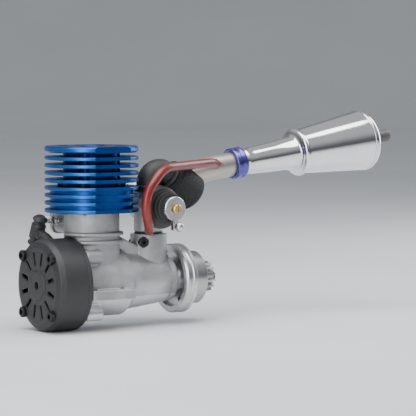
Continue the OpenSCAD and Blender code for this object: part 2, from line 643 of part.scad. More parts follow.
module housing_space() {
  turned_x() polygon([[0, plate_x + 1], [starter_r - housing_wall, plate_x + 1],
    [starter_r - housing_wall, housing_x1 + 3.6], [starter_r - 4.4, housing_x1 + housing_wall],
    [0, housing_x1 + housing_wall]]);
}
module along_cord(at) {
  translate([cord_x, 0, 0] + pull_normal * cord_at + pull * at) rotate([pull_angle - 90, 0, 0]) children();
}
module starter_housing() color(black) on_crank() difference() {
  union() {
    difference() {
      union() {
        turned_x() polygon([[0, plate_x], [starter_r, plate_x], [starter_r, housing_x1 + 4],
          [starter_r - 1.2, housing_x1 + 1.2], [starter_r - 4, housing_x1], [0, housing_x1]]);
        along_cord(exit_along - 3) cylinder(h = 7, r = 3.4);
      }
      housing_space();
    }
    ring_x(housing_x1 - 0.8, housing_x1 + 1, 7.5);
    screw_ring() translate([housing_x1 + 1.2, 0, 0]) rotate([0, 90, 0])
      cylinder(h = starter_depth - 1.5, r = screw_r + 1.3);
  }
  along_cord(0) cylinder(h = 40, r = cord_r + 0.4);
  for (w = [15:30:345]) rotate([w, 0, 0]) translate([housing_x1 - 1, -1, 10.2]) cube([housing_wall + 2, 2, 7]);
  screw_ring() translate([housing_x1 - 1, 0, 0]) rotate([0, 90, 0]) cylinder(h = 30, r = screw_r + 0.1);
  screw_ring() translate([housing_x1 - 5, 0, 0]) rotate([0, 90, 0]) cylinder(h = 6, r = 2.85);
  translate([housing_x1 - 2, 0, 0]) rotate([0, 90, 0]) cylinder(h = 5, r = 2);
}

module starter_screws() color(dark_steel) on_crank()
  screw_ring() translate([housing_x1 + 1, 0, 0]) rotate([0, -90, 0]) cap_screw(screw_r, starter_depth + plate_t + 5, 2.75, 2.6, 2.5);

module starter_shaft() color(steel) on_crank() difference() {
  union() {
    ring_x(reel_x0 - reel_w - 0.4, drive_x0 + 1, drive_r);
    ring_x(drive_x0, drive_x0 + 2.2, throw_r + crankpin_r + 1);
  }
  translate([drive_x0 - 1, -crankpin_r - 0.1, throw_r - crankpin_r - 0.6]) cube([5, 2 * crankpin_r + 0.2, 12]);
}

module one_way_bearing() color(chrome) on_crank() ring_x(reel_x0 - reel_w, reel_x0, clutch_sleeve_r, drive_r + run);

module starter_reel() color("#d8d4c4") on_crank() difference() {
  turned_x() difference() {
    ring_section(reel_x0 - reel_w, reel_x0, reel_r, clutch_sleeve_r);
    polygon([[reel_r + 1, cord_x - 3.1], [cord_at - cord_r - 1.6, cord_x - 1.9], [cord_at - cord_r - 1.6, cord_x + 1.9], [reel_r + 1, cord_x + 3.1]]);
  }
  around_x(6, 9.4) translate([reel_x0 - reel_w - 1, 0, 0]) rotate([0, 90, 0]) cylinder(h = reel_w + 2, r = 1.6);
}

module starter_cord() color("#e8e4da") on_crank() ring_x(cord_x - 1.8, cord_x + 1.8, cord_at + cord_r - 0.1, cord_at - cord_r - 1.6, 0.7);

drive_x0 = -6.8;                             // plate that the crankpin turns
spring_x0 = housing_x1 + housing_wall + 0.3;
spring_w = reel_x0 - reel_w - 0.5 - spring_x0;
module recoil_spring() color(steel) on_crank() rotate([0, 90, 0]) translate([0, 0, spring_x0])
  linear_extrude(spring_w) polygon(concat(
    [for (w = [0:15:360 * 5]) (6 + w / 360 * 1.7) * [cos(w), sin(w)]],
    [for (w = [360 * 5:-15:0]) (6.5 + w / 360 * 1.7) * [cos(w), sin(w)]]));

handle_gap = 4.4;
module starter_handle() color(black) on_crank() along_cord(exit_along + handle_gap) {
  ring_z(0, 5, 3, 0, 0.8);
  difference() {
    translate([0, 0, 7.4]) rotate([90, 0, 0]) ring_z(-8.5, 8.5, 3.8, 0, 1.4);
    for (y = [-5, 5]) translate([0, y, 7.4]) rotate([90, 0, 0]) rotate_extrude() translate([5, 0]) circle(1.9);
  }
  translate([0, 0, -handle_gap - 1]) cylinder(h = handle_gap + 2, r = cord_r);
}

// ---------------------------------------------------------------- carburettor

module at_carb() { translate([carb_x, 0, crank_z]) children(); }

module carburettor_body() color(black) at_carb() difference() {
  union() {
    translate([0, 0, boss_h - 9]) cylinder(h = 14, r = neck_r - run);
    ring_z(boss_h + 1, carb_h, 7.6, 0, 0.6);
    translate([0, 0, carb_h]) ring_y(carb_y0, carb_y1, carb_r, 0, 0.8);
    translate([0, 0, carb_h]) ring_y(carb_y0 - 1.5, carb_y0 + 2, collar_r, 0, 0.8);
    ring_z(carb_h, intake_h, intake_r);
    ring_z(intake_h - 1.6, intake_h, intake_r + 0.6, 0, 0.5);
    translate([0, 0, carb_h]) ring_y(carb_y1 - 1, carb_y1 + 1.5, 5.6);
    translate([carb_r - 1, -4, carb_h]) rotate([0, 90, 0]) cylinder(h = 4.2, r = 3);
  }
  translate([0, 0, boss_h - 10]) cylinder(h = intake_h, r = venturi_r);
  translate([0, 0, intake_h - 3]) cylinder(h = 3.01, r1 = venturi_r, r2 = intake_r - 1);
  translate([0, carb_y0 - 3, carb_h]) rotate([-90, 0, 0]) cylinder(h = carb_y1 - carb_y0 - 1, r = slide_d / 2 + slip);
  translate([0, carb_y1 - 8, carb_h]) rotate([-90, 0, 0]) cylinder(h = 10, r = 1.45 + thread_gap);
  translate([carb_r - 3, -4, carb_h]) rotate([0, 90, 0]) cylinder(h = 10, r = 1.4 + thread_gap);
  translate([-neck_r - 1.8, -20, boss_h - 4]) rotate([-90, 0, 0]) cylinder(h = 40, r = 1.6);
}

module carburettor_bolt() color(dark_steel) on_crank() translate([carb_x - neck_r - 1.8, -cotter_y, boss_h - 4])
  rotate([90, 0, 0]) cap_screw(1.25, 11, 2.4, 2.2, 2);

module throttle_slide() color(steel) at_carb() translate([0, 0, carb_h]) difference() {
  union() {
    ring_y(boot_y0, 3, slide_d / 2);
    ring_y(slide_end_y + 2, boot_y0 + 1, 4);
    ring_y(slide_end_y, slide_end_y + 3, 6.2);
    translate([-1.5, slide_end_y, -10.9]) cube([3, 2, 10.9]);
    translate([0, 0, -9]) ring_y(slide_end_y - 2.2, slide_end_y + 1, 1.1);
    translate([0, slide_end_y - 3.6, -9]) sphere(2.4);
  }
  translate([0, slide_end_y - 3, 0]) rotate([-90, 0, 0]) cylinder(h = 12, r = 1.4 + thread_gap);
}

// Rubber bellows, stretched from the body's collar to the end of the slide.
folds = 4;
boot_r = 9.6;
module throttle_boot() color(rubber) at_carb() translate([0, 0, carb_h]) turned_y() {
  step = boot_length / folds;
  polygon(concat(
    [[4.1, boot_y0], [collar_r - 0.8, boot_y0]],
    [for (k = [0:folds - 1]) let (big = boot_r - k * 0.7) each [[big, boot_y0 - (k + 0.25) * step], [big, boot_y0 - (k + 0.45) * step], [big - 2, boot_y0 - (k + 0.75) * step], [big - 2, boot_y0 - (k + 0.95) * step]]],
    [[5.4, boot_y0 - boot_length], [4.1, boot_y0 - boot_length]]));
}

module needle_housing() color(brass) at_carb() translate([0, 0, carb_h]) difference() {
  union() {
    translate([0, carb_y1 + 1.5, 0]) rotate([-90, 0, 0]) cylinder(h = 3, d = 8 / cos(30), $fn = 6);
    ring_y(carb_y1 + 4.4, needle_y, 3.2);
    ring_y(carb_y1 - 6, carb_y1 + 1.6, 1.45, 0, 0.1);
  }
  translate([0, carb_y1 - 8, 0]) rotate([-90, 0, 0]) cylinder(h = 20, r = 1.02 + thread_gap);
}
module main_needle() color(steel) at_carb() translate([0, 0, carb_h]) difference() {
  union() {
    turned_y() polygon([[0, carb_y1 - 6.6], [0.7, carb_y1 - 4], [1.02, carb_y1 - 2], [1.02, needle_y + 0.4], [0, needle_y + 0.4]]);
    ring_y(needle_y + 0.3, needle_y + 5, 3, 0, 0.4);
  }
  translate([-4, needle_y + 4, -0.4]) cube([8, 2, 0.8]);
}

module idle_screw() color(steel) at_carb() translate([0, -4, carb_h]) rotate([0, 90, 0]) difference() {
  union() {
    translate([0, 0, slide_d / 2 + loose]) cylinder(h = carb_r + 4 - slide_d / 2 - loose, r = 1.4);
    ring_z(carb_r + 3.6, carb_r + 6.4, 2.4);
  }
  translate([-3, -0.4, carb_r + 5.5]) cube([6, 0.8, 2]);
}

module low_speed_needle() color(brass) at_carb() translate([0, 0, carb_h]) difference() {
  union() {
    ring_y(slide_end_y - 0.6, slide_end_y + 8, 1.4);
    ring_y(slide_end_y - 2.4, slide_end_y - 0.5, 2.3);
  }
  translate([-0.4, slide_end_y - 3, -3]) cube([0.8, 1.3, 6]);
}

module fuel_inlet() color(brass) on_crank() difference() {
  union() {
    tube_between(inlet_at - 2 * inlet_dir, inlet_at + 2.2 * inlet_dir, 2.4, 0);
    tube_between(inlet_at, inlet_at + 8.5 * inlet_dir, hose_bore_r, 0);
  }
  translate([carb_x, 0, boss_h]) cylinder(h = 9, r = 7.6);
  tube_between(inlet_at - 2 * inlet_dir, inlet_at + 9 * inlet_dir, 0.6, 0);
}

// ---------------------------------------------------------------- air filter

elbow_r = 7;
elbow_turn = 125;
filter_turn = 5;
filter_r = 9.6;
filter_length = 19;
module at_filter() {
  at_carb() rotate([0, 0, filter_turn]) translate([elbow_r, 0, intake_h + 0.5])
    rotate([0, elbow_turn, 0]) translate([-elbow_r, 0, 0]) children();
}

module filter_boot() color(rubber) {
  at_carb() difference() {
    ring_z(intake_h - 3, intake_h + 0.5, intake_r + 1.4, 0, 0.4);
    translate([0, 0, intake_h - 4]) cylinder(h = 4, r = intake_r);
    translate([0, 0, intake_h - 1.6]) cylinder(h = 1.6, r = intake_r + 0.6);
    cylinder(h = intake_h + 2, r = intake_r - 1);
  }
  at_carb() rotate([0, 0, filter_turn]) translate([elbow_r, 0, intake_h + 0.5]) rotate([-90, 0, 0])
    rotate([0, 0, 180]) rotate_extrude(angle = elbow_turn) translate([elbow_r, 0]) difference() {
      circle(6.4);
      circle(intake_r - 1.2);
    }
  at_filter() ring_z(-0.2, 1.4, intake_r + 0.6, intake_r - 1.15, 0.1);
  at_filter() ring_z(1, 2.4, filter_r - 1, intake_r - 1, 0.4);
}
module filter_foam() color("#2b2b2d") at_filter() ring_z(2.4, 2.4 + filter_length, filter_r + 0.8, 4, 2.2);

// ---------------------------------------------------------------- exhaust

module on_pipe() { on_crank() translate(joint_at) rotate([0, -pipe_tilt, 0]) children(); }

// Shell of revolution round the pipe: outer points of [radius, distance], inside at one wall less.
module pipe_shell(p) {
  turned_x() polygon(concat(p, [for (i = [len(p) - 1:-1:0]) [p[i][0] - tube_wall, p[i][1]]]));
}

module exhaust_header() color(cast) on_crank() difference() {
  union() {
    bent_tube(header_points, header_bends, header_r, header_r - tube_wall);
    port_block(stub_y, stub_y + 2.6, stub_wall + 0.8);
    spring_pins(1);
  }
  translate([0, stub_y - 1, exhaust_h]) rotate([-90, 0, 0]) cylinder(h = 4, r = header_r - tube_wall - 0.05);
}

coil_len = spring_pin_y[1] - spring_pin_y[0] - 6;
module header_springs() color(steel) on_crank() for (s = [0, 1]) mirror([s, 0, 0])
  translate([spring_pin_x, spring_pin_y[0], exhaust_h]) {
    ring_y(3, 3 + coil_len, 2, 1.2, 0.3);
    for (y = [0, coil_len + 6]) translate([0, y, 0]) ring_x(-0.4, 0.4, spring_pin_r + 0.8, spring_pin_r, 0.15);
    for (y = [spring_pin_r + 0.4, coil_len + 2.9]) translate([-0.4, y, -0.4]) cube([0.8, 1.7, 0.8]);
    for (y = [3, 2.4 + coil_len]) translate([-0.4, y, -1.6]) cube([0.8, 0.6, 3.2]);
  }

module pipe_joint() color("#5a55a0") on_pipe() turned_x()
  polygon([[header_r, 0], [header_r + 1.2, 0], [header_r + 2, 0.8], [header_r + 2, joint_length - 0.8],
    [header_r + 1.2, joint_length], [header_r, joint_length]]);

module tuned_pipe() color(chrome) on_pipe() pipe_shell([
  [header_r, joint_half], [header_r, joint_length + 1.5], [9, can_x],
  [can_front_d / 2 - 1, can_x + 0.6], [can_front_d / 2 + 0.9, can_x + 1.4], [can_front_d / 2 + 0.9, can_x + 3],
  [can_front_d / 2, can_x + 4], [can_rear_d / 2, cap_x]]);

module tail_cap() color(chrome) on_pipe() pipe_shell([
  [can_rear_d / 2, cap_x], [can_rear_d / 2 + 0.2, cap_x + 1.5], [can_rear_d / 2 - 0.9, cap_x + 3.6],
  [can_rear_d / 2 - 3.4, cap_x + 5.2], [6.5, cap_x + 6.4], [6.5, cap_x + 9], [3.5, cap_x + 9.6],
  [3.5, cap_x + 20]]);

module pressure_nipple() color(brass) on_crank() difference() {
  union() {
    tube_between(nipple_at, nipple_at + 10.2 * nipple_dir, 2.4, 0);
    tube_between(nipple_at, nipple_at + 16.5 * nipple_dir, hose_bore_r, 0);
  }
  tube_between(joint_at - 20 * pipe_dir, joint_at + 10 * pipe_dir, header_r, 0);
}

// Hose with both ends pushed over the nipples.
module pressure_hose() color(red) on_crank() difference() {
  bent_tube(hose_points, hose_bends, hose_r, 0);
  tube_between(inlet_at, inlet_at + 8.6 * inlet_dir, hose_bore_r, 0);
  tube_between(nipple_at, nipple_at + 16.6 * nipple_dir, hose_bore_r, 0);
}

// ---------------------------------------------------------------- the parts

crankcase();
front_bearing_outer();
rear_bearing_outer();
cylinder_sleeve();
head_shim();
head_button();
cooling_head();
head_bolts();
glow_plug();
glow_plug_washer();
backplate();
backplate_seal();
carburettor_body();
carburettor_seal();
carburettor_bolt();
fuel_inlet();
needle_housing();
throttle_boot();
starter_housing();
starter_screws();
recoil_spring();
exhaust_header();
header_springs();
pipe_joint();
tuned_pipe();
tail_cap();
pressure_nipple();
pressure_hose();
filter_boot();
filter_foam();
crankshaft();
front_bearing_inner();
rear_bearing_inner();
flywheel_collet();
flywheel();
clutch_nut();
clutch_springs();
bell_bearing_inners();
bell_screw();
starter_shaft();
front_bearing_balls();
rear_bearing_balls();
clutch_shoe(0);  // clutch_shoe_1
clutch_shoe(1);  // clutch_shoe_2
clutch_shoe(2);  // clutch_shoe_3
clutch_bell();
bell_bearing_outers();
piston();
wrist_pin();
wrist_pin_clips();
conrod();
crankpin();
throttle_slide();
main_needle();
idle_screw();
low_speed_needle();
starter_reel();
one_way_bearing();
starter_cord();
starter_handle();
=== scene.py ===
import json
import math

import bpy
import numpy as np
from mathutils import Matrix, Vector

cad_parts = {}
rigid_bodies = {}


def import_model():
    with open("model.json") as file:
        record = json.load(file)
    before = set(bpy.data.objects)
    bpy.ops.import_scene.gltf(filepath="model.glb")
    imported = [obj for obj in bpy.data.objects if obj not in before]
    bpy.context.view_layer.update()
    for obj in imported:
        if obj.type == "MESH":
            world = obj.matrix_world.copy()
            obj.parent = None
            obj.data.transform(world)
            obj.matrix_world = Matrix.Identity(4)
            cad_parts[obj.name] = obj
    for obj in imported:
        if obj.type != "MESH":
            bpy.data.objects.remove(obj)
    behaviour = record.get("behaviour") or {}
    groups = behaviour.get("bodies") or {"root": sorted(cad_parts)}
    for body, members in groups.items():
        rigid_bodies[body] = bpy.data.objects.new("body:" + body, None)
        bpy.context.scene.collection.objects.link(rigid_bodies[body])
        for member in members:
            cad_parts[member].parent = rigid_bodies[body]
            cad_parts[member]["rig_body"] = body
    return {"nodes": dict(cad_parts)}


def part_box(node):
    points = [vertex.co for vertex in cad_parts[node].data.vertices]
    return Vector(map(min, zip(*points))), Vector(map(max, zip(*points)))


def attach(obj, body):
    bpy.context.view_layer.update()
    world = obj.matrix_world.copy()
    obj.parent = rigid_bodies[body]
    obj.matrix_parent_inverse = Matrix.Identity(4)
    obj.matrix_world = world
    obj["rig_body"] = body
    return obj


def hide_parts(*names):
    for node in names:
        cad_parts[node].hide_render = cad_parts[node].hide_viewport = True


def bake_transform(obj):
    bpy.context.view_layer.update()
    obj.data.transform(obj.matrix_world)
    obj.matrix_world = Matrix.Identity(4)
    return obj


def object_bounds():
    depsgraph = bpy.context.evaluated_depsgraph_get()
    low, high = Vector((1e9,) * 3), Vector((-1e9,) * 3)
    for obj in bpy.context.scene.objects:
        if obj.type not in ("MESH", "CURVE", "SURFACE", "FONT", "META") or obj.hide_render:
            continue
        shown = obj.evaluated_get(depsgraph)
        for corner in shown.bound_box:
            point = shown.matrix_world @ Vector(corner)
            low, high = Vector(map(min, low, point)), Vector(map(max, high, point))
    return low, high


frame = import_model()
cad_low, cad_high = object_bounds()

# Camera, lights and floor
# The engine is seen from its carburettor side, a little above the crankshaft, through a long lens.
# It stands on a pale floor under three soft studio lamps.
centre = (cad_low + cad_high) / 2
azimuth, elevation = math.radians(-33), math.radians(3.5)
camera_distance = 1.30
back = Vector((
    math.sin(azimuth) * math.cos(elevation),
    -math.cos(azimuth) * math.cos(elevation),
    math.sin(elevation),
))
camera = bpy.data.objects.new("camera", bpy.data.cameras.new("camera"))
bpy.context.scene.collection.objects.link(camera)
across = Vector((math.cos(azimuth), math.sin(azimuth), 0))
aim_left, aim_up = 0.007, 0.004
aim = centre - across * aim_left + Vector((0, 0, aim_up))
camera.location = aim + back * camera_distance
camera.rotation_euler = (-back).to_track_quat("-Z", "Y").to_euler()
camera.data.sensor_width = 36
camera.data.lens = 212
camera.data.clip_start, camera.data.clip_end = 0.05, 20
bpy.context.scene.camera = camera

world = bpy.data.worlds.new("studio")
world.use_nodes = True
sky = world.node_tree.nodes["Background"]
sky.inputs["Color"].default_value = (0.80, 0.83, 0.87, 1)
direction = world.node_tree.nodes.new("ShaderNodeTexCoord")
split = world.node_tree.nodes.new("ShaderNodeSeparateXYZ")
brightness = world.node_tree.nodes.new("ShaderNodeMapRange")
brightness.interpolation_type = "SMOOTHSTEP"
sky_low, sky_high = 0.08, 0.62
dim, bright = 0.14, 0.62
for socket, value in zip(list(brightness.inputs)[1:5], (sky_low, sky_high, dim, bright)):
    socket.default_value = value
world.node_tree.links.new(direction.outputs["Generated"], split.inputs[0])
world.node_tree.links.new(split.outputs["Z"], brightness.inputs[0])
world.node_tree.links.new(brightness.outputs[0], sky.inputs["Strength"])
bpy.context.scene.world = world


def softbox(name, place, size, watts, tint):
    lamp = bpy.data.objects.new(name, bpy.data.lights.new(name, "AREA"))
    bpy.context.scene.collection.objects.link(lamp)
    lamp.location = centre + Vector(place)
    lamp.rotation_euler = (-Vector(place)).to_track_quat("-Z", "Y").to_euler()
    lamp.data.shape = "RECTANGLE"
    lamp.data.size, lamp.data.size_y = size
    lamp.data.energy = watts
    lamp.data.color = tint


softbox("overhead", (-0.10, -0.15, 0.75), (0.9, 0.6), 9.0, (1.0, 1.0, 1.0))
softbox("front_left", (-0.75, -0.55, 0.30), (0.35, 0.9), 6.5, (1.0, 0.98, 0.95))
softbox("right_rim", (0.80, 0.10, 0.35), (0.25, 0.8), 5.0, (0.93, 0.97, 1.0))


def grid_mesh(name, rings, closed_along=False, close_round=True):
    """A surface through rows of points, each row a ring or a strip."""
    rows, columns = len(rings), len(rings[0])
    points = [tuple(p) for ring in rings for p in ring]
    faces = []
    for i in range(rows if closed_along else rows - 1):
        j = (i + 1) % rows
        for k in range(columns if close_round else columns - 1):
            m = (k + 1) % columns
            faces.append((i * columns + k, i * columns + m, j * columns + m, j * columns + k))
    mesh = bpy.data.meshes.new(name)
    mesh.from_pydata(points, [], faces)
    mesh.update()
    for polygon in mesh.polygons:
        polygon.use_smooth = True
    made = bpy.data.objects.new(name, mesh)
    bpy.context.scene.collection.objects.link(made)
    return made


# The floor runs back and curves up into a backdrop.
floor_depth, cove_radius, wall_height = 3.4, 0.8, 3.0
floor_profile = [(-4.5, 0), (floor_depth, 0)]
floor_profile += [
    (floor_depth + cove_radius * math.sin(a), cove_radius - cove_radius * math.cos(a))
    for a in np.linspace(0.1, math.pi / 2, 14)
]
floor_profile += [(floor_depth + cove_radius, wall_height)]
away = Vector((-back.x, -back.y, 0)).normalized()
floor_middle = Vector((centre.x, centre.y, cad_low.z))
floor_half_width = 5
floor_rows = [
    [floor_middle + across * side + away * y + Vector((0, 0, z)) for y, z in floor_profile]
    for side in (-floor_half_width, floor_half_width)
]
floor = grid_mesh("floor", floor_rows, close_round=False)


class Signal:
    """A value that varies over a finish. It adds and multiplies like a number."""

    def __init__(self, finish, socket):
        self.finish, self.socket = finish, socket

    def _math(self, operation, *values):
        return self.finish.add("ShaderNodeMath", {"operation": operation}, *values)

    def __add__(self, other):
        return self._math("ADD", self, other)

    def __sub__(self, other):
        return self._math("SUBTRACT", self, other)

    def __mul__(self, other):
        return self._math("MULTIPLY", self, other)

    def __pow__(self, other):
        return self._math("POWER", self, other)

    def __rsub__(self, other):
        return self._math("SUBTRACT", other, self)

    __radd__, __rmul__ = __add__, __mul__

    def sine(self):
        return self._math("SINE", self)

    def above(self, low, high):
        """0 below low, 1 above high, and smooth between them."""
        settings = {"interpolation_type": "SMOOTHSTEP"}
        return self.finish.add("ShaderNodeMapRange", settings, self, low, high)


class Finish:
    """A material: its nodes are added one at a time and its shader is set at the end."""

    def __init__(self, name):
        self.material = bpy.data.materials.new(name)
        self.material.use_nodes = True
        self.tree = self.material.node_tree
        self.shader = self.tree.nodes["Principled BSDF"]
        self.place = self.add("ShaderNodeTexCoord", {}, out="Object")

    def add(self, kind, settings=None, *values, out=0, **named):
        node = self.tree.nodes.new(kind)
        for key, value in (settings or {}).items():
            setattr(node, key, value)
        inputs = [(node.inputs[i], v) for i, v in enumerate(values)]
        inputs += [(node.inputs[k.replace("_", " ")], v) for k, v in named.items()]
        for socket, value in inputs:
            self.join(value, socket)
        return Signal(self, node.outputs[out])

    def join(self, value, socket):
        if isinstance(value, Signal):
            self.tree.links.new(value.socket, socket)
            return
        wide = hasattr(socket.default_value, "__len__")
        if wide and not hasattr(value, "__len__"):
            socket.default_value = [value] * len(socket.default_value)
        elif wide and len(socket.default_value) == 4 and len(value) == 3:
            socket.default_value = (*value, 1)
        else:
            socket.default_value = value

    def noise(self, per_mm, detail=3.0, roughness=0.55):
        return self.add("ShaderNodeTexNoise", {}, out="Fac", Vector=self.place,
                        Scale=per_mm * 1000, Detail=detail, Roughness=roughness)

    def blend_colour(self, share, first, second):
        node = self.tree.nodes.new("ShaderNodeMix")
        node.data_type = "RGBA"
        for socket, value in ((node.inputs[0], share), (node.inputs[6], first), (node.inputs[7], second)):
            self.join(value, socket)
        return Signal(self, node.outputs[2])

    def part(self, axis):
        """Distance along the engine's X, Y or Z, in millimetres."""
        return self.add("ShaderNodeSeparateXYZ", {}, self.place, out=axis) * 1000

    def radius(self, across, through):
        """Distance from a line through the point, in the plane of the two axes, in millimetres."""
        a, b = self.part(across[0]) - through[0], self.part(across[1]) - through[1]
        return (a * a + b * b) ** 0.5

    def bump(self, height, depth_mm):
        return self.add("ShaderNodeBump", {}, out="Normal", Height=height, Strength=1.0,
                        Distance=depth_mm / 1000)

    def set(self, **sockets):
        for key, value in sockets.items():
            self.join(value, self.shader.inputs[key.replace("_", " ")])
        return self.material


pale = Finish("floor_paper")
speckle = pale.noise(0.004, 4)
floor.data.materials.append(pale.set(
    Base_Color=pale.blend_colour(speckle.above(0.35, 0.7), (0.70, 0.72, 0.74), (0.74, 0.755, 0.77)),
    Roughness=0.62 + speckle * 0.1,
))

# Crankcase
# One aluminium casting holds the bearings, the sleeve and the carburettor, with four lugs for the
# engine rails. It is bead-blasted, so its edges are soft and its skin has a fine even grain.


def paint(finish, *names):
    for name in names:
        slots = frame["nodes"][name].data.materials
        slots.clear()
        slots.append(finish)


def softened(name, node, cell_mm, rounds, finish):
    """A copy of a CAD node with its edges rounded off as a mould leaves them."""
    source = frame["nodes"][node]
    made = bpy.data.objects.new(name, source.data.copy())
    made.data.materials.clear()
    made.data.materials.append(finish)
    bpy.context.scene.collection.objects.link(made)
    cells = made.modifiers.new("cells", "REMESH")
    cells.mode = "VOXEL"
    cells.voxel_size = cell_mm / 1000
    cells.use_smooth_shade = True
    smooth = made.modifiers.new("smooth", "SMOOTH")
    smooth.factor, smooth.iterations = 0.5, rounds
    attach(made, source["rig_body"])
    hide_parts(node)
    return made


def cast_metal(name, light, dark, grain_mm=0.09, machined=None, edges=False):
    """Blasted or tumbled metal. Machined faces are brighter and smoother. The edge option adds rubbed,
    brighter edges and darkens the hollows as painted shade.
    """
    finish = Finish(name)
    grain = finish.noise(1.6, 4, 0.6)
    patches = finish.noise(0.045, 4)
    specks = finish.add("ShaderNodeTexVoronoi", {}, out="Distance", Vector=finish.place, Scale=2300.0)
    pits = finish.noise(0.5, 2)
    worn = patches.above(0.42, 0.68)
    tone = finish.blend_colour(worn * 0.75 + grain * 0.25, dark, light)
    bright = grain * 0
    if edges:
        corner = finish.add("ShaderNodeNewGeometry", {}, out="Pointiness")
        # Painted shade: concave hollows are darkened towards a deep tone of the metal.
        shade = tuple(c * 0.35 for c in dark)
        tone = finish.blend_colour((1 - corner.above(0.40, 0.495)) * 0.55, tone, shade)
        bright = corner.above(0.515, 0.57) * (0.35 + grain * 0.65)
    if machined:
        bright = (bright + machined(finish)).above(0.0, 1.0)
    return finish.set(
        Base_Color=finish.blend_colour(bright * 0.75, tone, tuple(min(1, c * 1.28) for c in light)),
        Metallic=0.86,
        Roughness=0.42 + grain * 0.16 + (1 - worn) * 0.10 - bright * 0.20,
        Normal=finish.bump((grain * 0.7 + specks * 0.5 + pits * 0.6) * (1 - bright * 0.8), grain_mm),
    )


def case_faces(finish):
    """The faces that are milled after casting: deck, nose, exhaust face, carburettor seat, lugs."""
    up, along, out = finish.part("Z"), finish.part("X"), finish.part("Y")
    seat = up.above(seat_z, seat_z + 0.2) * along.above(seat_x, seat_x + 1)
    deck, nose = up.above(deck_z, deck_z + 0.2), along.above(nose_x, nose_x + 0.3)
    port, soles = out.above(port_y, port_y + 0.3), 1 - up.above(0.1, 0.3)
    return deck + nose + port + seat + soles


deck_z, seat_z, seat_x, nose_x, port_y = 51.3, 30.75, 23, 45.1, 24.1
# The casting's rubbed edges are brighter, and its hollows carry painted shade.
case_finish = cast_metal("blasted_casting", (0.56, 0.57, 0.58), (0.33, 0.335, 0.34), 0.11, case_faces, True)
softened("crankcase_casting", "crankcase", 0.36, 4, case_finish)

# Crankshaft bearings
# Two deep-groove ball bearings pressed into the case carry the crankshaft. Rings and balls are
# ground and polished bearing steel.


def ground_steel(name, light, dark, across, through, rings_per_mm, rough=0.24, depth_mm=0.012):
    """Turned or ground metal, with fine rings round an axis and faint stains."""
    finish = Finish(name)
    ripple = (finish.radius(across, through) * (rings_per_mm * 2 * math.pi)).sine() * 0.5 + 0.5
    wander = finish.noise(0.35, 3)
    stains = finish.noise(0.09, 4)
    tone = finish.blend_colour(stains.above(0.35, 0.72) * 0.8 + ripple * 0.2, dark, light)
    return finish.set(
        Base_Color=tone,
        Metallic=1.0,
        Roughness=rough + wander * 0.12 + ripple * 0.05,
        Normal=finish.bump(ripple * 0.6 + wander * 0.5, depth_mm),
    )


crank_axis = (0, 7)
bearing_finish = ground_steel(
    "bearing_steel", (0.62, 0.63, 0.64), (0.44, 0.45, 0.46), "YZ", crank_axis, 5,
)
ball_finish = ground_steel(
    "ball_steel", (0.74, 0.75, 0.76), (0.60, 0.61, 0.62), "YZ", crank_axis, 1.5, 0.08, 0.002,
)
paint(bearing_finish, "front_bearing_outer", "rear_bearing_outer", "front_bearing_inner",
      "rear_bearing_inner", "bell_bearing_outers", "bell_bearing_inners", "one_way_bearing")
paint(ball_finish, "front_bearing_balls", "rear_bearing_balls")

# Cylinder sleeve, shim and head button
# A brass sleeve drops into the case and the chromed bore carries the piston. A copper shim and an
# aluminium button with the combustion chamber close it.
sleeve_finish = ground_steel("sleeve_brass", (0.80, 0.62, 0.30), (0.58, 0.42, 0.19), "XY", (0, 0), 4, 0.28)
copper_finish = ground_steel("soft_copper", (0.80, 0.43, 0.27), (0.52, 0.26, 0.16), "XY", (0, 0), 3, 0.34)
button_finish = ground_steel("turned_button", (0.80, 0.81, 0.82), (0.60, 0.61, 0.62), "XY", (0, 0), 6, 0.25)
paint(sleeve_finish, "cylinder_sleeve")
paint(copper_finish, "head_shim", "glow_plug_washer")
paint(button_finish, "head_button")

# Cooling head
# The fins are cut from solid bar on a lathe, milled flat on two sides and anodised blue. The cutter
# leaves fine rings on every face. The rims are paler, more so where scuffed; painted shade darkens the fin
# roots.
fin_low, fin_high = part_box("cooling_head")
fin_radius = (fin_high.x - fin_low.x) * 500
anodised = Finish("blue_anodising")
from_axis = anodised.radius("XY", (0, 0))
height = anodised.part("Z")
rings = (from_axis * 16.0).sine() * 0.5 + 0.5
rim_rings = (height * 24.0).sine() * 0.5 + 0.5
rim = from_axis.above(fin_radius - 0.5, fin_radius - 0.05)
cloud = anodised.noise(0.06, 4)
fine = anodised.noise(1.1, 3)
scuffs = anodised.noise(0.30, 5, 0.7).above(0.60, 0.72)
blue = anodised.blend_colour(cloud.above(0.3, 0.7), (0.004, 0.040, 0.205), (0.008, 0.075, 0.330))
# Painted shade: the fins darken towards their roots, in the gaps between them.
fin_root_shade = 1 - from_axis.above(15.0, 21.0)
blue = anodised.blend_colour(fin_root_shade * 0.6, blue, (0.002, 0.014, 0.075))
blue = anodised.blend_colour(rim * 0.45 + rim * scuffs * 0.35, blue, (0.045, 0.215, 0.60))
paint(anodised.set(
    Base_Color=blue,
    Metallic=0.88,
    Roughness=0.27 + fine * 0.12 + scuffs * 0.10,
    Normal=anodised.bump(rings * (1 - rim) * 0.6 + rim_rings * rim * 0.6 + fine * 0.4, 0.016),
), "cooling_head")

# Head bolts and the other black screws
# Socket cap screws of black-oxide steel. The rolled skin is nearly matt and shows bright wear
# where the key and the seat rub it.


def black_oxide(name):
    finish = Finish(name)
    skin = finish.noise(1.3, 4)
    rubs = finish.noise(0.42, 5, 0.7).above(0.60, 0.74)
    return finish.set(
        Base_Color=finish.blend_colour(rubs * 0.7, (0.030, 0.030, 0.033), (0.24, 0.24, 0.25)),
        Metallic=0.8,
        Roughness=0.36 + skin * 0.18 - rubs * 0.10,
        Normal=finish.bump(skin, 0.02),
    )


screw_finish = black_oxide("black_screw_steel")
paint(screw_finish, "head_bolts", "carburettor_bolt", "starter_screws", "bell_screw")

